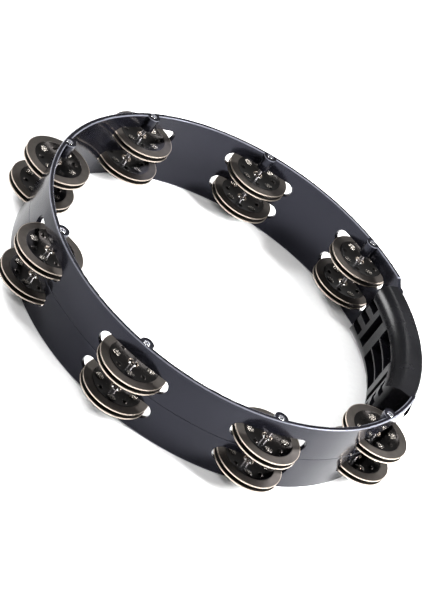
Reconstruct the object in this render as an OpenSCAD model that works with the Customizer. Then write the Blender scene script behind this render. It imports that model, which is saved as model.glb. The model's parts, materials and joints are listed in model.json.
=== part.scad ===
// Headless round tambourine. A slotted band carries eight upright pins, and each pin
// carries two pairs of dished jingles that slide and rattle in the band's slots. A cored
// grip fills the ninth sector and closes the ring. Lengths are in millimetres.

/* [Band] */
// Outer diameter of the band
ring_d = 254; // [210:1:320]
// Height of the band
ring_h = 50; // [46:1:60]
// Wall thickness of the band
ring_wall = 3.2; // [2.8:0.1:4.4]
// Rounding on the rim's edges
rim_round = 0.8; // [0.4:0.1:1.2]
// How far each half of the outer wall leans in from the parting line to the rim
wall_draft = 0.3; // [0:0.1:0.6]

/* [Slots and bosses] */
// Height of a slot
slot_h = 10; // [9:0.5:11]
// Length of a slot, straight across
slot_l = 47.7; // [46:0.1:52]
// Distance between the lower and the upper row of slots
row_pitch = 20; // [19:0.5:23]
// Diameter of the bosses that hold the pins
boss_d = 8.4; // [7.5:0.1:10]

/* [Pins] */
// Radius of the circle that the pins stand on, in from the outside of the band
pin_inset = 3.5; // [3.2:0.1:4]
// Diameter of a pin
pin_d = 2.6; // [2:0.1:3]
// Diameter of a pin's rolled head
head_d = 4.2; // [3.8:0.1:5]
// Height of a pin's rolled head
head_h = 1; // [0.8:0.1:1.4]

/* [Jingles] */
// Diameter of a jingle
jingle_d = 41; // [34:0.5:44]
// Thickness of the sheet that a jingle is pressed from
sheet = 0.8; // [0.5:0.1:1]
// Diameter of the dish inside the flat flange
dish_d = 31; // [24:0.5:32]
// Depth of the dish
dish_depth = 1.6; // [1:0.1:1.8]
// Diameter of the hole in a jingle
hole_d = 5.4; // [4.6:0.1:6]

/* [Grip] */
// Thickness of the grip, from its outer to its inner face
grip_depth = 19; // [16:0.5:24]
// Height of the grip
grip_h = 42; // [38:0.2:44]
// Depth of the pockets in the grip's inner face
pocket_depth = 12; // [8:0.5:13]
// Thickness of the two thin ribs that cross the middle pocket
thin_rib = 1.4; // [1:0.1:2]

/* [Hidden] */
$fn = 96;
stations = 8;
step = 360 / (stations + 1);
rows = ["lower", "upper"];
discs = ["bottom", "top"];

// The ring's axis stands a little off the origin, so that the origin is the middle of
// the footprint: the jingles reach further on the far side than the grip does here.
ring_r = ring_d / 2;
inner_r = ring_r - ring_wall;
rim_r = ring_r - wall_draft;
pin_r = ring_r - pin_inset;
far_reach = pin_r * cos(step / 2) + jingle_d / 2;
axis_x = (far_reach - ring_r) / 2;
mid_z = ring_h / 2;
past = 1;

// The rim ramps down beside the grip, laps over its end and enters it as a tongue
ramp_a = 26.6;
lap_a = 24.3;
lap_end_a = 22.3;
tongue_end_a = 19.6;
tongue_t = 1.6;
tongue_h = 26;
fit = 0.1;
fit_a = 0.05;
socket_a = 0.2;

// Pin seats
pin_gap = 0.03;
pin_floor = 3;
pin_end_gap = 0.4;
head_drop = 0.2;
head_bore_d = 1.8;
head_bore_h = 2.2;
head_round = 0.35;

// Room round the jingles at rest
seat_gap = 0.3;
disc_gap = 0.3;
dish_steps = 6;

// Grip section and plan
grip_r = ring_r - grip_depth;
outer_round = 2.5;
inner_round = 10.5;
plan_round = 6.5;
pocket_r = grip_r + pocket_depth;

// Pockets in the inner face, as [first angle, last angle, lowest, highest] from mid-height
thin_z = 4.6;
wide_cell = 8;
wide_z = 13;
slot_cell = [12.1, 15.5];
slot_cell_z = 11.5;
end_cell = [17.7, 23.4];
end_pocket = 4.8;
end_pitch = 9.3;
wide_pockets = [
    [-wide_cell, wide_cell, thin_z + thin_rib / 2, wide_z],
    [-wide_cell, wide_cell, thin_rib / 2 - thin_z, thin_z - thin_rib / 2],
    [-wide_cell, wide_cell, -wide_z, -thin_z - thin_rib / 2]
];
side_pockets = [
    for (m = [-1, 1])
        [min(m * slot_cell[0], m * slot_cell[1]), max(m * slot_cell[0], m * slot_cell[1]),
         -slot_cell_z, slot_cell_z]
];
end_pockets = [
    for (m = [-1, 1], k = [-1, 0, 1])
        [min(m * end_cell[0], m * end_cell[1]), max(m * end_cell[0], m * end_cell[1]),
         k * end_pitch - end_pocket / 2, k * end_pitch + end_pocket / 2]
];

function jingle_name(s, r, d) = str("jingle_", s, "_", rows[r], "_", discs[d]);
function slot_floor(r) = mid_z + (r - 0.5) * row_pitch - slot_h / 2;
function dish_z(r) = dish_depth * (1 - pow(2 * r / dish_d, 2));
function dish_r(i) = hole_d / 2 + (dish_d - hole_d) / 2 * i / dish_steps;

module on_axis() translate([axis_x, 0, 0]) children();

module at_station(s) on_axis() rotate([0, 0, s * step]) translate([pin_r, 0, 0]) children();

// A block that follows the ring from angle a0 to a1, between two radii and two heights
module arc_block(a0, a1, r0, r1, z0, z1) {
    rotate([0, 0, a0])
        rotate_extrude(angle = a1 - a0)
            translate([r0, z0])
                square([r1 - r0, z1 - z0]);
}

// Section of the band: rounded rims and a faint crease on the parting line
module band_section() {
    polygon([
        [inner_r, rim_round], [inner_r, ring_h - rim_round],
        [inner_r + rim_round, ring_h], [rim_r - rim_round, ring_h],
        [rim_r, ring_h - rim_round], [ring_r, mid_z], [rim_r, rim_round],
        [rim_r - rim_round, 0], [inner_r + rim_round, 0]
    ]);
    for (r = [inner_r + rim_round, rim_r - rim_round], z = [rim_round, ring_h - rim_round])
        translate([r, z]) circle(r = rim_round);
}

// Both ends of the band, or of the grip: the children are modelled at the first end
module both_ends() {
    on_axis() {
        children();
        mirror([0, 1, 0]) children();
    }
}

// What the rims lose beside the grip: a ramp from the rim down to the grip's height
module ramp_cut() {
    drop = (ring_h - grip_h) / 2;
    run = ring_r * sin(ramp_a - lap_a);
    reach = ring_r * sin(ramp_a - lap_end_a) + past;
    for (flip = [0, 1])
        translate([0, 0, flip * ring_h])
            mirror([0, 0, flip])
                rotate([0, 0, ramp_a])
                    translate([inner_r - past, 0, 0])
                        rotate([90, 0, 90])
                            linear_extrude(height = ring_wall + 2 * past)
                                polygon([[0, 0], [-run, drop], [-reach, drop],
                                         [-reach, -past], [0, -past]]);
}

module boss(s) {
    intersection() {
        at_station(s) cylinder(d = boss_d, h = ring_h);
        on_axis() cylinder(r = ring_r - ring_wall / 2, h = ring_h);
    }
}

// Slot with round ends, cut straight through the wall and the boss
module slot(s, r) {
    at_station(s)
        translate([-boss_d - past, 0, slot_floor(r) + slot_h / 2])
            rotate([0, 90, 0])
                linear_extrude(height = 2 * boss_d) {
                    square([slot_h, slot_l - slot_h], center = true);
                    for (y = [-1, 1])
                        translate([0, y * (slot_l - slot_h) / 2]) circle(d = slot_h);
                }
}

module pin_seat(s) {
    at_station(s) {
        translate([0, 0, pin_floor]) cylinder(d = pin_d + 2 * pin_gap, h = ring_h);
        translate([0, 0, ring_h - head_h - head_drop])
            cylinder(d = head_d + 2 * pin_gap, h = ring_h);
    }
}

module frame_ring() {
    color("#2b2b30")
        difference() {
            union() {
                on_axis()
                    rotate([0, 0, lap_end_a])
                        rotate_extrude(angle = 360 - 2 * lap_end_a) band_section();
                both_ends() tongue(0);
                for (s = [1 : stations]) boss(s);
            }
            both_ends() ramp_cut();
            for (s = [1 : stations]) {
                pin_seat(s);
                for (r = [0, 1]) slot(s, r);
            }
        }
}

// Tongue on the band's end, or with room round it the socket for it
module tongue(room) {
    mid_wall = ring_r - ring_wall / 2;
    arc_block(tongue_end_a - (room > 0 ? socket_a : 0), lap_end_a + 1,
              mid_wall - tongue_t / 2 - room, mid_wall + tongue_t / 2 + room,
              mid_z - tongue_h / 2 - room, mid_z + tongue_h / 2 + room);
}

// Section of the grip: a bar as deep as it needs to fill the hand, rounder on the inside
module grip_section() {
    half = grip_h / 2;
    outer_x = ring_r - outer_round;
    inner_x = grip_r + inner_round;
    translate([0, mid_z]) {
        polygon([
            [ring_r, outer_round - half], [ring_r, half - outer_round], [outer_x, half],
            [inner_x, half], [grip_r, half - inner_round], [grip_r, inner_round - half],
            [inner_x, -half], [outer_x, -half]
        ]);
        for (m = [-1, 1]) {
            translate([outer_x, m * (half - outer_round)]) circle(r = outer_round);
            translate([inner_x, m * (half - inner_round)]) circle(r = inner_round);
        }
    }
}

// What rounds off the upright inner corner at the grip's end
module corner_cut() {
    centre_r = grip_r + plan_round;
    centre_x = sqrt(pow(centre_r, 2) - pow(plan_round, 2));
    touch_y = -plan_round * grip_r / centre_r;
    rotate([0, 0, lap_a])
        translate([0, 0, -past])
            linear_extrude(height = ring_h + 2 * past)
                difference() {
                    translate([grip_r - past, touch_y])
                        square([centre_x - grip_r + past, past - touch_y]);
                    translate([centre_x, -plan_round]) circle(r = plan_round);
                }
}

module grip() {
    color("#17171a")
        difference() {
            on_axis()
                rotate([0, 0, -lap_a])
                    rotate_extrude(angle = 2 * lap_a) grip_section();
            both_ends() {
                arc_block(lap_end_a - fit_a, lap_a + 1,
                          inner_r - fit, ring_r + past, -past, ring_h + past);
                tongue(fit);
                corner_cut();
            }
            on_axis()
                for (p = concat(wide_pockets, side_pockets, end_pockets))
                    arc_block(p[0], p[1], grip_r - past, pocket_r, mid_z + p[2], mid_z + p[3]);
        }
}

// Steel pin with a rolled, hollow head that sits just under the rim
module pin(s) {
    top = ring_h - head_drop;
    color("#c9cacc")
        at_station(s)
            difference() {
                union() {
                    translate([0, 0, pin_floor + pin_end_gap])
                        cylinder(d = pin_d, h = top - pin_floor - pin_end_gap);
                    translate([0, 0, top - head_h])
                        cylinder(d = head_d, h = head_h - head_round);
                    translate([0, 0, top - head_round])
                        cylinder(d1 = head_d, d2 = head_d - 2 * head_round, h = head_round);
                }
                translate([0, 0, top - head_bore_h])
                    cylinder(d = head_bore_d, h = head_bore_h + past);
            }
}

// Pressed disc that stands on its flange, with the dish rising in the middle
module disc() {
    rotate_extrude()
        polygon(concat(
            [[jingle_d / 2, 0], [jingle_d / 2, sheet]],
            [for (i = [dish_steps : -1 : 0]) [dish_r(i), dish_z(dish_r(i)) + sheet]],
            [for (i = [0 : dish_steps]) [dish_r(i), dish_z(dish_r(i))]]
        ));
}

// The pair lies back to back on the slot's floor: the cups face down and up
module jingle(s, r, d) {
    pair_h = 2 * (dish_depth + sheet) + disc_gap;
    color("#5a5755")
        at_station(s)
            translate([0, 0, slot_floor(r) + seat_gap + d * pair_h])
                mirror([0, 0, d])
                    disc();
}

frame_ring();
grip();
for (s = [1 : stations])
    pin(s);
for (s = [1 : stations], r = [0, 1], d = [0, 1])
    jingle(s, r, d);
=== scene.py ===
# %% [markdown]
# A headless tambourine
#
# The real thing is a black plastic band with eight steel pins, four thin jingles on each pin,
# and a cored hand grip that closes the ring. The design file fixes every size and joint. This
# lesson dresses it: softened moulded edges, the line where the mould parted, pressed and punched
# jingles, and a finish for each material. Lengths are in metres, so MM turns millimetres into them.

# %% Load the frame
import json
import math

import bmesh
import bpy
from mathutils import Matrix, Vector


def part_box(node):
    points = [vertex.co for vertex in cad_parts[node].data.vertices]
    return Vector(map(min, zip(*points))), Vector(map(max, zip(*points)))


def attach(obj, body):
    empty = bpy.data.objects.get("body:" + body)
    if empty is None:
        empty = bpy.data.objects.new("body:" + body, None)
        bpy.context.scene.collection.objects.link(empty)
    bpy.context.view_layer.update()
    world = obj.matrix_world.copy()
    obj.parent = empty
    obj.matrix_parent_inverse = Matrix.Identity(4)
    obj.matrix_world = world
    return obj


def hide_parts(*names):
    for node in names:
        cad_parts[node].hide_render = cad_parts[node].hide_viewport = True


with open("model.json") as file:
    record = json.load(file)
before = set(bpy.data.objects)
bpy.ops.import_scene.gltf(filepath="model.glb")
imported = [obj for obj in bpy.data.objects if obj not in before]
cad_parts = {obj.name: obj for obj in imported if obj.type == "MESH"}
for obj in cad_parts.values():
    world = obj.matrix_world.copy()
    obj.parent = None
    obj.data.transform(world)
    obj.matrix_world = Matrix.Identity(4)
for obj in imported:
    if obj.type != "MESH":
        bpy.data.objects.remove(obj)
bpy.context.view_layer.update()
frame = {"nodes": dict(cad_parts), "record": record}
MM = 0.001
nodes = frame["nodes"]
body_of_node = {n: body for body, names in frame["record"]["behaviour"]["bodies"].items() for n in names}

# %% [markdown]
# Where the ring is
#
# The origin is the middle of the footprint, but most of the shapes are round about the ring's
# own axis. The pins give that axis: two that face each other across the ring's mirror plane
# stand at the same distance from it, so a circle through three pins has its centre there.

# %% Find the ring's axis
def middle(name):
    low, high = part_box(name)
    return (low + high) / 2


def circle_centre(a, b, c):
    """Centre of the circle through three points, in plan."""
    d = 2 * (a.x * (b.y - c.y) + b.x * (c.y - a.y) + c.x * (a.y - b.y))
    sq = [p.x ** 2 + p.y ** 2 for p in (a, b, c)]
    x = (sq[0] * (b.y - c.y) + sq[1] * (c.y - a.y) + sq[2] * (a.y - b.y)) / d
    y = (sq[0] * (c.x - b.x) + sq[1] * (a.x - c.x) + sq[2] * (b.x - a.x)) / d
    return Vector((x, y, 0))


pin_names = sorted(n for n in nodes if n.startswith("pin_"))
jingle_names = sorted(n for n in nodes if n.startswith("jingle_"))
axis = circle_centre(middle("pin_1"), middle("pin_4"), middle("pin_8"))
pin_circle = (middle("pin_1") - axis).xy.length
BAND_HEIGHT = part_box("frame_ring")[1].z
axis.z = BAND_HEIGHT / 2
print("ring axis", [round(v / MM, 2) for v in axis], "pin circle", round(pin_circle / MM, 2), "mm")

# %% [markdown]
# Camera
#
# A long lens from well back keeps the ring from bulging. The camera looks down on the ring from
# behind its left side, and it is rolled on its own axis, so the ring seems to tumble in the air.

# %% Camera
CAMERA_AZIMUTH = math.radians(-112.25)
CAMERA_RISE = math.radians(33.0)
CAMERA_ROLL = math.radians(36.1)
CAMERA_DISTANCE = 1.266
CAMERA_AIM = Vector((-7.5, -11.5, 0)) * MM
FOCAL_LENGTH = 182.5


def look(eye, target, roll):
    """Matrix of a camera at eye that looks at target, rolled about its own line of sight."""
    back = (eye - target).normalized()
    right = Vector((0, 0, 1)).cross(back).normalized()
    up = back.cross(right)
    turn = Matrix((right, up, back)).transposed().to_4x4()
    return Matrix.Translation(eye) @ turn @ Matrix.Rotation(roll, 4, "Z")


camera_data = bpy.data.cameras.new("camera")
camera_data.sensor_fit = "HORIZONTAL"
camera_data.sensor_width = 36
camera_data.lens = FOCAL_LENGTH
camera_data.clip_end = 50
camera = bpy.data.objects.new("camera", camera_data)
bpy.context.scene.collection.objects.link(camera)
away = Vector((math.cos(CAMERA_RISE) * math.cos(CAMERA_AZIMUTH),
               math.cos(CAMERA_RISE) * math.sin(CAMERA_AZIMUTH), math.sin(CAMERA_RISE)))
camera.matrix_world = look(axis + away * CAMERA_DISTANCE, axis + CAMERA_AIM, CAMERA_ROLL)
bpy.context.scene.camera = camera
print("camera at", [round(v, 3) for v in camera.matrix_world.translation])

# %% [markdown]
# Helpers for materials
#
# Colours are written as the hex values a paint chart uses and turned to linear light by one
# function. One more adds a node, sets its values and links what feeds it, and a last one joins
# a finish's three parts to its shader.

# %% Helpers for materials
def linear(hex_colour):
    """An sRGB hex colour, such as 2b2b30, as linear red, green, blue and alpha."""
    parts = [int(hex_colour[i:i + 2], 16) / 255 for i in (0, 2, 4)]
    return [p / 12.92 if p <= 0.04045 else ((p + 0.055) / 1.055) ** 2.4 for p in parts] + [1]


def add(tree, kind, inputs=None, **settings):
    """A node of that kind. An input is a value, or the output socket that feeds it."""
    node = tree.nodes.new(kind)
    for name, value in settings.items():
        setattr(node, name, value)
    for name, value in (inputs or {}).items():
        if isinstance(value, bpy.types.NodeSocket):
            tree.links.new(value, node.inputs[name])
        else:
            node.inputs[name].default_value = value
    return node


def new_material(name):
    """An empty material with a shader in it. Returns the material, its tree and the shader."""
    material = bpy.data.materials.new(name)
    material.use_nodes = True
    tree = material.node_tree
    return material, tree, tree.nodes["Principled BSDF"]


def ramp(tree, fac, stops):
    """A colour ramp with stops of (position, linear colour)."""
    node = add(tree, "ShaderNodeValToRGB", {"Fac": fac})
    while len(node.color_ramp.elements) < len(stops):
        node.color_ramp.elements.new(0.5)
    for element, (position, colour) in zip(node.color_ramp.elements, stops):
        element.position = position
        element.color = colour
    return node.outputs["Color"]


def grey(value):
    return [value, value, value, 1]


def plug_in(tree, shader, colour, rough, bump):
    """Links a finish's colour, roughness and bump to its shader."""
    tree.links.new(colour, shader.inputs["Base Color"])
    tree.links.new(rough, shader.inputs["Roughness"])
    tree.links.new(bump.outputs["Normal"], shader.inputs["Normal"])

# %% [markdown]
# ABS, moulded and polished
#
# The band is injection moulded in charcoal ABS in a polished steel tool. The eye sees a deep
# gloss with a faint orange peel, about 4 mm from crest to crest, and a haze of handling
# scratches that breaks up the reflections. A pale line under 1 mm wide is painted along the
# rounding of the two rims: a painted highlight, standing in for the glint those edges catch.

# %% ABS, moulded and polished
RIM_GLINT_NEAR = 0.25 * MM
RIM_GLINT_FAR = 0.9 * MM
ABS_IOR = 1.54


def polished_abs():
    material, tree, shader = new_material("ABS_moulded_polished_charcoal")
    place = add(tree, "ShaderNodeTexCoord").outputs["Object"]
    peel = add(tree, "ShaderNodeTexNoise", {"Vector": place, "Scale": 1 / (4 * MM), "Detail": 2.0})
    haze = add(tree, "ShaderNodeTexNoise", {"Vector": place, "Scale": 1 / (22 * MM), "Detail": 6.0,
                                            "Roughness": 0.6})
    stretched = add(tree, "ShaderNodeMapping", {"Vector": place, "Scale": (1, 1, 9)})
    scratches = add(tree, "ShaderNodeTexNoise", {"Vector": stretched.outputs["Vector"],
                                                 "Scale": 1 / (9 * MM), "Detail": 8.0, "Roughness": 0.7})
    mixed = add(tree, "ShaderNodeMath", {0: haze.outputs["Fac"], 1: scratches.outputs["Fac"]},
                operation="MULTIPLY")
    rough = add(tree, "ShaderNodeMapRange", {"Value": mixed.outputs["Value"], "From Min": 0.15,
                                             "From Max": 0.4, "To Min": 0.1, "To Max": 0.2})
    colour = ramp(tree, haze.outputs["Fac"], [(0.3, linear("0a0a0d")), (0.7, linear("0f0f14"))])
    bump = add(tree, "ShaderNodeBump", {"Height": peel.outputs["Fac"], "Strength": 0.12,
                                        "Distance": 0.06 * MM})
    # A pale line near the top and bottom of the band: a painted highlight along the rims' roundings.
    height = add(tree, "ShaderNodeSeparateXYZ", {"Vector": place}).outputs["Z"]
    level = add(tree, "ShaderNodeMapRange", {"Value": height, "From Max": BAND_HEIGHT}).outputs["Result"]
    low, high = RIM_GLINT_NEAR / BAND_HEIGHT, RIM_GLINT_FAR / BAND_HEIGHT
    painted_rim_highlight = ramp(tree, level, [(0.0, grey(0)), (low, grey(1)), (high, grey(0)),
                             (1 - high, grey(0)), (1 - low, grey(1)), (1.0, grey(0))])
    colour = add(tree, "ShaderNodeMix", {"Factor": painted_rim_highlight, "A": colour, "B": linear("6c6d76")},
                 data_type="RGBA").outputs["Result"]
    plug_in(tree, shader, colour, rough.outputs["Result"], bump)
    shader.inputs["IOR"].default_value = ABS_IOR
    shader.inputs["Specular IOR Level"].default_value = 0.19
    shader.inputs["Specular Tint"].default_value = linear("e2e5ff")
    return material


BAND_FINISH = polished_abs()
print("made", BAND_FINISH.name)

# %% [markdown]
# ABS, spark-eroded satin
#
# The grip's tool is spark eroded, which leaves a fine satin grain of about 0.4 mm. It is a
# little darker than the band, and the places that a hand polishes are smoother.

# %% ABS, spark-eroded satin
def satin_abs():
    material, tree, shader = new_material("ABS_moulded_satin_black")
    place = add(tree, "ShaderNodeTexCoord").outputs["Object"]
    grain = add(tree, "ShaderNodeTexNoise", {"Vector": place, "Scale": 1 / (0.4 * MM), "Detail": 3.0})
    handled = add(tree, "ShaderNodeTexNoise", {"Vector": place, "Scale": 1 / (26 * MM), "Detail": 5.0,
                                               "Roughness": 0.55})
    rough = add(tree, "ShaderNodeMapRange", {"Value": handled.outputs["Fac"], "From Min": 0.3,
                                             "From Max": 0.7, "To Min": 0.2, "To Max": 0.3})
    colour = ramp(tree, handled.outputs["Fac"], [(0.3, linear("070709")), (0.7, linear("0c0c0f"))])
    bump = add(tree, "ShaderNodeBump", {"Height": grain.outputs["Fac"], "Strength": 0.25,
                                        "Distance": 0.05 * MM})
    plug_in(tree, shader, colour, rough.outputs["Result"], bump)
    shader.inputs["IOR"].default_value = ABS_IOR
    shader.inputs["Specular IOR Level"].default_value = 0.15
    return material


GRIP_FINISH = satin_abs()
print("made", GRIP_FINISH.name)

# %% [markdown]
# Steel, black-nickel plated and spun
#
# A jingle is pressed from thin steel, spun smooth on a lathe and plated in black nickel. The
# lathe leaves fine rings round the hole, drawn here 0.5 mm apart so that they show. The plating
# is warm and dark. The cup keeps its gloss and is painted darker, a painted reflection of the
# dark wall it faces. The flange strikes its partner at every shake, so it is satin; it is also
# painted paler, a painted reflection of the light above it. The outer edge and the hole's edge
# are painted pale, partly bare steel where the plating is gone and partly a painted highlight.
# In the broad stamped marks a pale net of ribs, drawn 1.1 mm across so that it shows, is partly
# bare steel and partly painted glints off the ribs. All of it follows the jingle's own map,
# which holds its plan at 1 unit to 50 mm.

# %% Steel, black-nickel plated and spun
MAP_SPAN = 50 * MM
MARK_CIRCLE = 10.8 * MM
FIRST_MARK = 22.5
BROAD_R = 2.6 * MM
SMALL_R = 1.5 * MM
NET_REACH = 0.92 * BROAD_R
NET_SIZE = 1.1 * MM
NET_LINE = 0.14
EDGE_BARE_AND_GLINT = 0.35 * MM


def stamped(tree, centred):
    """1 on the pale net of ribs in the four broad marks, 0 elsewhere. One quarter serves all four."""
    turn = (0, 0, math.radians(FIRST_MARK))
    quarter = add(tree, "ShaderNodeMapping", {"Vector": centred, "Rotation": turn})
    folded = add(tree, "ShaderNodeVectorMath", {0: quarter.outputs["Vector"]}, operation="ABSOLUTE")
    half = MARK_CIRCLE / MAP_SPAN * math.sqrt(0.5)
    off = add(tree, "ShaderNodeVectorMath", {0: folded.outputs["Vector"], 1: (half, half, 0)},
              operation="DISTANCE")
    inside = add(tree, "ShaderNodeMath", {0: off.outputs["Value"], 1: NET_REACH / MAP_SPAN},
                 operation="LESS_THAN")
    ribs = add(tree, "ShaderNodeTexVoronoi", {"Vector": folded.outputs["Vector"],
                                              "Scale": MAP_SPAN / NET_SIZE}, feature="DISTANCE_TO_EDGE")
    lines = add(tree, "ShaderNodeMath", {0: ribs.outputs["Distance"], 1: NET_LINE}, operation="LESS_THAN")
    return add(tree, "ShaderNodeMath", {0: inside.outputs["Value"], 1: lines.outputs["Value"]},
               operation="MULTIPLY").outputs["Value"]


def spun_steel(outer_r, dish_r, hole_r):
    material, tree, shader = new_material("steel_spun_black_nickel")
    plan = add(tree, "ShaderNodeUVMap", uv_map="plan").outputs["UV"]
    centred = add(tree, "ShaderNodeVectorMath", {0: plan, 1: (0.5, 0.5, 0)}, operation="SUBTRACT")
    reach = add(tree, "ShaderNodeVectorMath", {0: centred.outputs["Vector"]}, operation="LENGTH")
    ring = add(tree, "ShaderNodeCombineXYZ", {"X": reach.outputs["Value"]})
    lathe = add(tree, "ShaderNodeTexNoise", {"Vector": ring.outputs["Vector"],
                                             "Scale": MAP_SPAN / (0.5 * MM), "Detail": 3.0})
    stain = add(tree, "ShaderNodeTexNoise", {"Vector": plan, "Scale": MAP_SPAN / (7 * MM), "Detail": 5.0})
    # Flange paler, cup darker: painted reflection, the flange of the light above it and the cup of the
    # dark wall it faces. The noise between the stops is stain.
    flange = ramp(tree, stain.outputs["Fac"], [(0.3, linear("4a4643")), (0.7, linear("57524e"))])
    cup_painted_dark = ramp(tree, stain.outputs["Fac"], [(0.3, linear("201e1d")), (0.7, linear("2d2a29"))])
    zone = ramp(tree, reach.outputs["Value"], [((dish_r - 0.6 * MM) / MAP_SPAN, grey(0)),
                                               ((dish_r + 0.2 * MM) / MAP_SPAN, grey(1))])
    stain_and_painted_reflection = add(tree, "ShaderNodeMix", {"Factor": zone, "A": cup_painted_dark, "B": flange},
                  data_type="RGBA").outputs["Result"]
    # Pale outer edge and hole edge: partly bare steel where the plating is gone, partly a painted
    # highlight along the edge.
    edge = EDGE_BARE_AND_GLINT / MAP_SPAN
    bare_and_glint_edges = ramp(tree, reach.outputs["Value"],
                [(hole_r / MAP_SPAN + edge / 2, grey(1)), (hole_r / MAP_SPAN + 2 * edge, grey(0)),
                 (outer_r / MAP_SPAN - 1.2 * edge, grey(0)), (outer_r / MAP_SPAN - 0.4 * edge, grey(1))])
    with_bare_and_glint_edges = add(tree, "ShaderNodeMix", {"Factor": bare_and_glint_edges, "A": stain_and_painted_reflection, "B": linear("b3a79b")},
                 data_type="RGBA").outputs["Result"]
    # The pale net in the broad marks is partly bare steel showing on the ribs and partly painted glints
    # off them.
    ribs = stamped(tree, centred.outputs["Vector"])
    colour = add(tree, "ShaderNodeMix", {"Factor": ribs, "A": with_bare_and_glint_edges, "B": linear("c8c1b8")},
                 data_type="RGBA")
    buffed = add(tree, "ShaderNodeMath", {0: zone, 1: 0.26, 2: 0.1},
                 operation="MULTIPLY_ADD").outputs["Value"]
    turned = add(tree, "ShaderNodeMapRange", {"Value": lathe.outputs["Fac"], "From Min": 0.3,
                                              "From Max": 0.7, "To Min": 0.0, "To Max": 0.1})
    rough = add(tree, "ShaderNodeMath", {0: buffed, 1: turned.outputs["Result"]}, operation="ADD")
    bump = add(tree, "ShaderNodeBump", {"Height": lathe.outputs["Fac"], "Strength": 0.2,
                                        "Distance": 0.03 * MM})
    plug_in(tree, shader, colour.outputs["Result"], rough.outputs["Value"], bump)
    shader.inputs["Metallic"].default_value = 1
    return material

# %% [markdown]
# Steel, drawn and nickel plated
#
# The pins are cut from bright drawn wire. Drawing leaves fine lines along the wire, so the
# pattern is stretched along the pin.

# %% Steel, drawn and nickel plated
def drawn_steel():
    material, tree, shader = new_material("steel_drawn_bright_nickel")
    place = add(tree, "ShaderNodeTexCoord").outputs["Object"]
    along = add(tree, "ShaderNodeMapping", {"Vector": place, "Scale": (1, 1, 0.04)})
    lines = add(tree, "ShaderNodeTexNoise", {"Vector": along.outputs["Vector"],
                                             "Scale": 1 / (0.3 * MM), "Detail": 2.0})
    rough = add(tree, "ShaderNodeMapRange", {"Value": lines.outputs["Fac"], "From Min": 0.3,
                                             "From Max": 0.7, "To Min": 0.12, "To Max": 0.26})
    colour = ramp(tree, lines.outputs["Fac"], [(0.3, linear("c2c2c6")), (0.7, linear("dcdce0"))])
    bump = add(tree, "ShaderNodeBump", {"Height": lines.outputs["Fac"], "Strength": 0.15,
                                        "Distance": 0.02 * MM})
    plug_in(tree, shader, colour, rough.outputs["Result"], bump)
    shader.inputs["Metallic"].default_value = 1
    return material


PIN_FINISH = drawn_steel()
print("made", PIN_FINISH.name)

# %% [markdown]
# Softened mouldings
#
# The design's edges are knife sharp where slots and pockets are cut. No moulding is: each edge
# has a small radius, and that radius is what catches the light. So the band and the grip are
# copied from the design, and their loose triangles are merged into one skin. The edges that
# stand out round the slots and pockets are then picked by their place and bevelled. The rims
# are left alone, because the design has rounded them already.

# %% Tools for shaping
MERGE_GAP = 0.001 * MM
NEARLY_FLAT = math.radians(0.02)


def pick_only(obj):
    """Deselects everything and makes obj the one that operators act on."""
    bpy.ops.object.select_all(action="DESELECT")
    obj.select_set(True)
    bpy.context.view_layer.objects.active = obj


def select_none(obj):
    """Deselects every face, edge and vertex of obj."""
    for part in list(obj.data.polygons) + list(obj.data.edges) + list(obj.data.vertices):
        part.select = False


def apply_modifier(obj, name, kind, **settings):
    modifier = obj.modifiers.new(name, kind)
    for key, value in settings.items():
        setattr(modifier, key, value)
    pick_only(obj)
    bpy.ops.object.modifier_apply(modifier=modifier.name)


def wear(obj, finish):
    """Gives obj that one material."""
    obj.data.materials.clear()
    obj.data.materials.append(finish)


def merged_copy(node, name):
    """A copy of a design node with its triangles merged into one skin."""
    copy = nodes[node].copy()
    copy.data = nodes[node].data.copy()
    copy.name = copy.data.name = name
    copy.parent = None
    for key in list(copy.keys()):
        del copy[key]
    bpy.context.scene.collection.objects.link(copy)
    pick_only(copy)
    bpy.ops.mesh.customdata_custom_splitnormals_clear()
    bpy.ops.object.mode_set(mode="EDIT")
    bpy.ops.mesh.select_all(action="SELECT")
    bpy.ops.mesh.remove_doubles(threshold=MERGE_GAP)
    bpy.ops.mesh.dissolve_limited(angle_limit=NEARLY_FLAT)
    bpy.ops.mesh.select_all(action="SELECT")
    bpy.ops.mesh.tris_convert_to_quads(face_threshold=math.radians(5),
                                       shape_threshold=math.radians(60))
    bpy.ops.object.mode_set(mode="OBJECT")
    return copy

# %% [markdown]
# Picking edges
#
# An edge is rounded if it stands outwards, turns by more than 35 degrees and lies where the
# piece says. A place is given as radius and angle about the ring's axis, and height.

# %% Picking edges
SHARP = math.radians(35)


def about_axis(point):
    """Radius, angle in degrees and height of a point, about the ring's axis."""
    x, y = point.x - axis.x, point.y - axis.y
    return math.hypot(x, y), math.degrees(math.atan2(y, x)), point.z


def round_edges(obj, wanted, width, segments):
    """Bevels the outward sharp edges whose two ends are where wanted(radius, angle, height) says."""
    pick_only(obj)
    bpy.ops.object.mode_set(mode="EDIT")
    bpy.ops.mesh.select_mode(type="EDGE")
    bpy.ops.mesh.select_all(action="DESELECT")
    skin = bmesh.from_edit_mesh(obj.data)
    count = 0
    for edge in skin.edges:
        stands_out = edge.is_manifold and edge.is_convex and edge.calc_face_angle() > SHARP
        if stands_out and all(wanted(*about_axis(v.co)) for v in edge.verts):
            edge.select = True
            count += 1
    bmesh.update_edit_mesh(obj.data)
    bpy.ops.mesh.bevel(offset=width, segments=segments, affect="EDGES", clamp_overlap=False)
    bpy.ops.object.mode_set(mode="OBJECT")
    print(obj.name, count, "edges rounded")


def smooth(obj):
    """Shades obj smooth up to its sharp edges, with the large flat faces kept flat."""
    pick_only(obj)
    bpy.ops.object.shade_smooth_by_angle(angle=SHARP)
    apply_modifier(obj, "weighted", "WEIGHTED_NORMAL", keep_sharp=True, weight=80)

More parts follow.
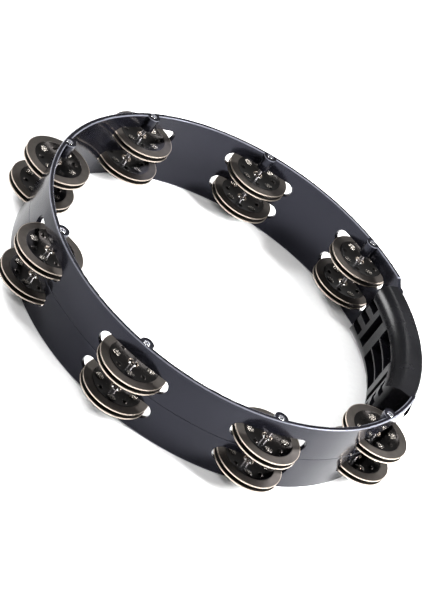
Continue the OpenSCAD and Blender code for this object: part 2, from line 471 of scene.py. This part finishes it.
# %% [markdown]
# Band
#
# Slots come every 40 degrees, in two rows, with their rims at a fixed height above and below
# each row's middle. What is rounded stays clear of the small hole that the pin passes through.
# The two halves of the mould meet at mid-height and leave a fine line round the outer wall:
# three cuts are made round the band, and the middle one is drawn in. The groove is 0.8 mm wide
# and 0.22 mm deep, coarser than a real one, so that it shows.

# %% Band
STATION_STEP = 40
ROW_MIDDLE = 10 * MM
SLOT_HALF = 5 * MM
NEAR = 0.02 * MM
PIN_CLEAR = 2.2 * MM
SLOT_ROUNDING = 0.4 * MM
SEAM_HALF = 0.4 * MM
SEAM_DEPTH = 0.22 * MM
SEAM_BAND = 0.2 * MM


def on_slot(radius, angle, height):
    from_row = abs(abs(height - axis.z) - ROW_MIDDLE)
    station = math.radians(angle - STATION_STEP * round(angle / STATION_STEP))
    from_pin = math.hypot(radius * math.cos(station) - pin_circle, radius * math.sin(station))
    return from_row < SLOT_HALF + NEAR and from_pin > PIN_CLEAR


def scribe_seam(obj):
    """Presses a shallow groove round the outer wall at mid-height, where the mould's halves met."""
    pick_only(obj)
    bpy.ops.object.mode_set(mode="EDIT")
    for height in (axis.z - SEAM_HALF, axis.z, axis.z + SEAM_HALF):
        bpy.ops.mesh.select_all(action="SELECT")
        bpy.ops.mesh.bisect(plane_co=(0, 0, height), plane_no=(0, 0, 1))
    bpy.ops.object.mode_set(mode="OBJECT")
    outer = max(about_axis(v.co)[0] for v in obj.data.vertices if abs(v.co.z - axis.z) < NEAR)
    select_none(obj)
    for vertex in obj.data.vertices:
        radius, _, height = about_axis(vertex.co)
        vertex.select = abs(height - axis.z) < NEAR and radius > outer - SEAM_BAND
    count = sum(vertex.select for vertex in obj.data.vertices)
    bpy.ops.object.mode_set(mode="EDIT")
    bpy.ops.mesh.select_mode(type="VERT")
    shrink = 1 - SEAM_DEPTH / outer
    bpy.ops.transform.resize(value=(shrink, shrink, 1), center_override=axis)
    bpy.ops.object.mode_set(mode="OBJECT")
    print("seam at radius", round(outer / MM, 2), "mm,", count, "points")


band = merged_copy("frame_ring", "band")
round_edges(band, on_slot, SLOT_ROUNDING, 3)
scribe_seam(band)
smooth(band)
wear(band, BAND_FINISH)
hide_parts("frame_ring")
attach(band, "frame")
print("band", len(band.data.polygons), "faces")

# %% [markdown]
# Hand grip
#
# The grip is one moulding, cored out from its inner face to keep its walls thin. Only the
# pockets' mouths are rounded here. They lie near the inner face, within 21 degrees of its middle.

# %% Hand grip
GRIP_INNER = min(about_axis(v.co)[0] for v in nodes["grip"].data.vertices)
POCKET_REACH = 4 * MM
POCKET_END = 21
POCKET_ROUNDING = 0.3 * MM


def on_pocket(radius, angle, height):
    return radius < GRIP_INNER + POCKET_REACH and abs(angle) < POCKET_END


hand_grip = merged_copy("grip", "hand_grip")
round_edges(hand_grip, on_pocket, POCKET_ROUNDING, 2)
smooth(hand_grip)
wear(hand_grip, GRIP_FINISH)
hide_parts("grip")
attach(hand_grip, "frame")
print("grip", len(hand_grip.data.polygons), "faces, inner radius", round(GRIP_INNER / MM, 2), "mm")

# %% [markdown]
# One jingle
#
# A jingle starts as a round blank. The press gives it a shallow dish and a slightly flared
# flange, and a punch then hits it eight times round the dish: four broad, ribbed marks and four
# small round dimples between them, which make it rattle brightly. It is made here in the same
# order: an open circle at the hole is extruded outwards ring by ring along the dish's curve,
# the faces under each punch are divided finely, and proportional moves press the marks in.

# %% One jingle
low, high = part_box("jingle_1_lower_bottom")
SHEET = 0.8 * MM
ROUND_STEPS = 96
DISH_STEPS = 14
OUTER_R = 20.5 * MM
DISH_R = 15.5 * MM
HOLE_R = 2.7 * MM
DISH_DEPTH = (high - low).z - SHEET
FLARE = 0.45 * MM
JINGLE_FINISH = spun_steel(OUTER_R, DISH_R, HOLE_R)


def dish_height(r):
    """Height of the sheet's middle above the flange's foot: a bowl, then a slightly flared flange."""
    if r > DISH_R:
        return FLARE * (r - DISH_R) / (OUTER_R - DISH_R)
    return DISH_DEPTH * (1 - (r / DISH_R) ** 2)


def ring_radii():
    """Radii of the rings from the hole to the edge, closer where the sheet turns."""
    dish = [HOLE_R + (DISH_R - HOLE_R) * i / DISH_STEPS for i in range(DISH_STEPS + 1)]
    flange = [DISH_R + 0.5 * MM, DISH_R + 1.8 * MM, OUTER_R - 1.2 * MM, OUTER_R - 0.3 * MM, OUTER_R]
    return dish + flange


def press_blank():
    """One jingle's skin, as an open sheet with its hole."""
    radii = ring_radii()
    bpy.ops.object.select_all(action="DESELECT")
    bpy.ops.mesh.primitive_circle_add(vertices=ROUND_STEPS, radius=radii[0],
                                      location=(0, 0, dish_height(radii[0])))
    blank = bpy.context.object
    bpy.ops.object.transform_apply(location=True, rotation=False, scale=False)
    bpy.ops.object.mode_set(mode="EDIT")
    bpy.ops.mesh.select_all(action="SELECT")
    for inner, outer in zip(radii, radii[1:]):
        bpy.ops.mesh.extrude_edges_move(
            TRANSFORM_OT_translate={"value": (0, 0, dish_height(outer) - dish_height(inner))})
        grow = outer / inner
        bpy.ops.transform.resize(value=(grow, grow, 1), center_override=(0, 0, 0))
    bpy.ops.object.mode_set(mode="OBJECT")
    return blank


blank = press_blank()
print("blank", len(blank.data.polygons), "faces, finish", JINGLE_FINISH.name)

# %% [markdown]
# Punch marks
#
# Every mark first gets a patch of finer faces. A broad mark is one shallow dent with seven small
# ribs left standing in it, and a dimple is one deeper dent.

# %% Punch marks
RIB_CIRCLE = 1.35 * MM
RIB_R = 0.65 * MM
RIB_RISE = 0.55 * MM
BROAD_DEPTH = 0.6 * MM
DIMPLE_DEPTH = 0.7 * MM
PATCH_MARGIN = 0.5 * MM


def mark_places():
    """Centres of the eight marks, as (x, y, is_broad)."""
    places = []
    for i in range(8):
        a = math.radians(45 * i + FIRST_MARK)
        places.append((MARK_CIRCLE * math.cos(a), MARK_CIRCLE * math.sin(a), i % 2 == 0))
    return places


def refine_patches(obj):
    """Divides the faces that lie under a mark."""
    spots = [(x, y, (BROAD_R if broad else SMALL_R) + PATCH_MARGIN) for x, y, broad in mark_places()]
    pick_only(obj)
    select_none(obj)
    for face in obj.data.polygons:
        at = face.center
        face.select = any(math.hypot(at.x - x, at.y - y) < r for x, y, r in spots)
    bpy.ops.object.mode_set(mode="EDIT")
    bpy.ops.mesh.select_mode(type="FACE")
    bpy.ops.mesh.subdivide(number_cuts=2)
    bpy.ops.object.mode_set(mode="OBJECT")


def nearest_vertex(obj, x, y):
    return min(obj.data.vertices, key=lambda v: (v.co.x - x) ** 2 + (v.co.y - y) ** 2)


def press(obj, x, y, radius, depth, falloff):
    """Moves the sheet down by depth at (x, y), fading out at radius."""
    select_none(obj)
    nearest_vertex(obj, x, y).select = True
    pick_only(obj)
    bpy.ops.object.mode_set(mode="EDIT")
    bpy.ops.mesh.select_mode(type="VERT")
    bpy.ops.transform.translate(value=(0, 0, -depth), use_proportional_edit=True,
                                proportional_edit_falloff=falloff, proportional_size=radius)
    bpy.ops.object.mode_set(mode="OBJECT")


def punch(obj):
    for x, y, broad in mark_places():
        if not broad:
            press(obj, x, y, SMALL_R, DIMPLE_DEPTH, "SPHERE")
            continue
        press(obj, x, y, BROAD_R, BROAD_DEPTH, "ROOT")
        turn = math.atan2(y, x)
        press(obj, x, y, RIB_R, -RIB_RISE, "SMOOTH")
        for i in range(6):
            a = turn + math.radians(60 * i)
            rib_x, rib_y = x + RIB_CIRCLE * math.cos(a), y + RIB_CIRCLE * math.sin(a)
            press(obj, rib_x, rib_y, RIB_R, -RIB_RISE, "SMOOTH")


refine_patches(blank)
punch(blank)
print("punched", len(blank.data.polygons), "faces")

# %% [markdown]
# Thickness and map
#
# The skin so far is the middle of the sheet. Solidify gives it the sheet's thickness on both
# sides, a narrow bevel breaks the sheared edges, and the plan is kept as a map for the finish.

# %% Thickness and map
SHEARED_EDGE = 0.16 * MM


def thicken(obj):
    """Turns the skin into a sheet that stands on z = 0, with its sheared edges broken."""
    apply_modifier(obj, "sheet", "SOLIDIFY", thickness=SHEET, offset=0, use_even_offset=True)
    obj.data.transform(Matrix.Translation((0, 0, SHEET / 2)))
    apply_modifier(obj, "edges", "BEVEL", limit_method="ANGLE", angle_limit=math.radians(60),
                   width=SHEARED_EDGE, segments=2)
    pick_only(obj)
    bpy.ops.object.mode_set(mode="EDIT")
    bpy.ops.mesh.select_all(action="SELECT")
    bpy.ops.mesh.normals_make_consistent(inside=False)
    bpy.ops.object.mode_set(mode="OBJECT")
    bpy.ops.object.shade_smooth_by_angle(angle=math.radians(40))


def draw_plan_map(obj):
    """Maps each corner to its place in plan, with the jingle's centre in the map's middle."""
    for old in list(obj.data.uv_layers):
        obj.data.uv_layers.remove(old)
    layer = obj.data.uv_layers.new(name="plan")
    for loop in obj.data.loops:
        at = obj.data.vertices[loop.vertex_index].co
        layer.data[loop.index].uv = (at.x / MAP_SPAN + 0.5, at.y / MAP_SPAN + 0.5)


thicken(blank)
draw_plan_map(blank)
wear(blank, JINGLE_FINISH)
print("jingle", len(blank.data.polygons), "faces")

# %% [markdown]
# Thirty-two jingles
#
# Each copy goes where its node lies. The upper one of a pair is turned over, so the two lie
# back to back with their cups outwards, and each is spun round its pin by its own angle, as
# loose jingles are.

# %% Thirty-two jingles
SPIN_STEP = math.radians(137.5)


def lay_jingle(name, order):
    """A copy of the jingle, in the place of the design node of that name."""
    copy = bpy.data.objects.new("disc_" + name.removeprefix("jingle_"), blank.data.copy())
    bpy.context.scene.collection.objects.link(copy)
    low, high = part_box(name)
    spot = Vector(((low.x + high.x) / 2, (low.y + high.y) / 2, low.z))
    turn = Matrix.Rotation(order * SPIN_STEP, 4, "Z")
    if name.endswith("top"):
        turn = turn @ Matrix.Rotation(math.pi, 4, "X")
        spot.z = high.z
    copy.data.transform(Matrix.Translation(spot) @ turn)
    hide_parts(name)
    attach(copy, body_of_node[name])
    return copy


discs = [lay_jingle(name, i) for i, name in enumerate(jingle_names)]
bpy.data.objects.remove(blank)
print(len(discs), "jingles laid")

# %% [markdown]
# Pins
#
# The design's pins already have their rolled, hollow heads, so they only take the finish.

# %% Pins
for name in pin_names:
    wear(nodes[name], PIN_FINISH)
print(len(pin_names), "pins")

# %% [markdown]
# Floor and light
#
# A wide pale floor keeps the shadows soft. The band's walls are upright, so seen from above
# they mirror the floor beside them: two small lamps light that floor on the right and the
# left. Two long strips draw the thin bright lines on edges, heads and stamped marks, and two
# large boxes fill in the rest.

# %% Floor and light
ROOM_LIGHT = 0.35


def floor():
    """A sheet of matt white paper, just under the ring."""
    bpy.ops.object.select_all(action="DESELECT")
    bpy.ops.mesh.primitive_plane_add(size=30, location=(0, 0, -0.2 * MM))
    plane = bpy.context.object
    plane.name = "floor"
    material, tree, shader = new_material("paper_matt_white")
    place = add(tree, "ShaderNodeTexCoord").outputs["Object"]
    fibre = add(tree, "ShaderNodeTexNoise", {"Vector": place, "Scale": 1 / (3 * MM), "Detail": 4.0})
    colour = ramp(tree, fibre.outputs["Fac"], [(0.3, linear("f2f2f2")), (0.7, linear("f6f6f6"))])
    tree.links.new(colour, shader.inputs["Base Color"])
    shader.inputs["Roughness"].default_value = 0.9
    plane.data.materials.append(material)


def soft_box(name, place, target, size, watts):
    """A flat rectangular lamp at place, turned towards target."""
    data = bpy.data.lights.new(name, "AREA")
    data.shape = "RECTANGLE"
    data.size, data.size_y = size
    data.energy = watts
    light = bpy.data.objects.new(name, data)
    bpy.context.scene.collection.objects.link(light)
    light.matrix_world = look(Vector(place), Vector(target), 0)


floor()
soft_box("front_top", (-0.7, -1.9, 1.7), (0, 0, 0), (2.0, 1.4), 14)
soft_box("front_strip", (-0.9, -1.3, 1.9), (0, 0, 0), (2.6, 0.09), 22)
soft_box("back_strip", (0.9, 1.2, 1.5), (0, 0, 0), (2.0, 0.07), 7)
soft_box("overhead", (0.4, 0.5, 1.9), (0, 0, 0), (1.2, 1.2), 6)
soft_box("floor_right", (0.6, -0.25, 0.45), (0.2, -0.07, 0), (0.3, 0.3), 26)
soft_box("floor_left", (-0.55, 0.35, 0.45), (-0.18, 0.06, 0), (0.3, 0.3), 8)
world = bpy.data.worlds.new("room")
world.use_nodes = True
room = world.node_tree.nodes["Background"]
room.inputs["Color"].default_value = linear("ffffff")
room.inputs["Strength"].default_value = ROOM_LIGHT
bpy.context.scene.world = world
bpy.context.scene.view_settings.view_transform = "Standard"
print("floor and light set")
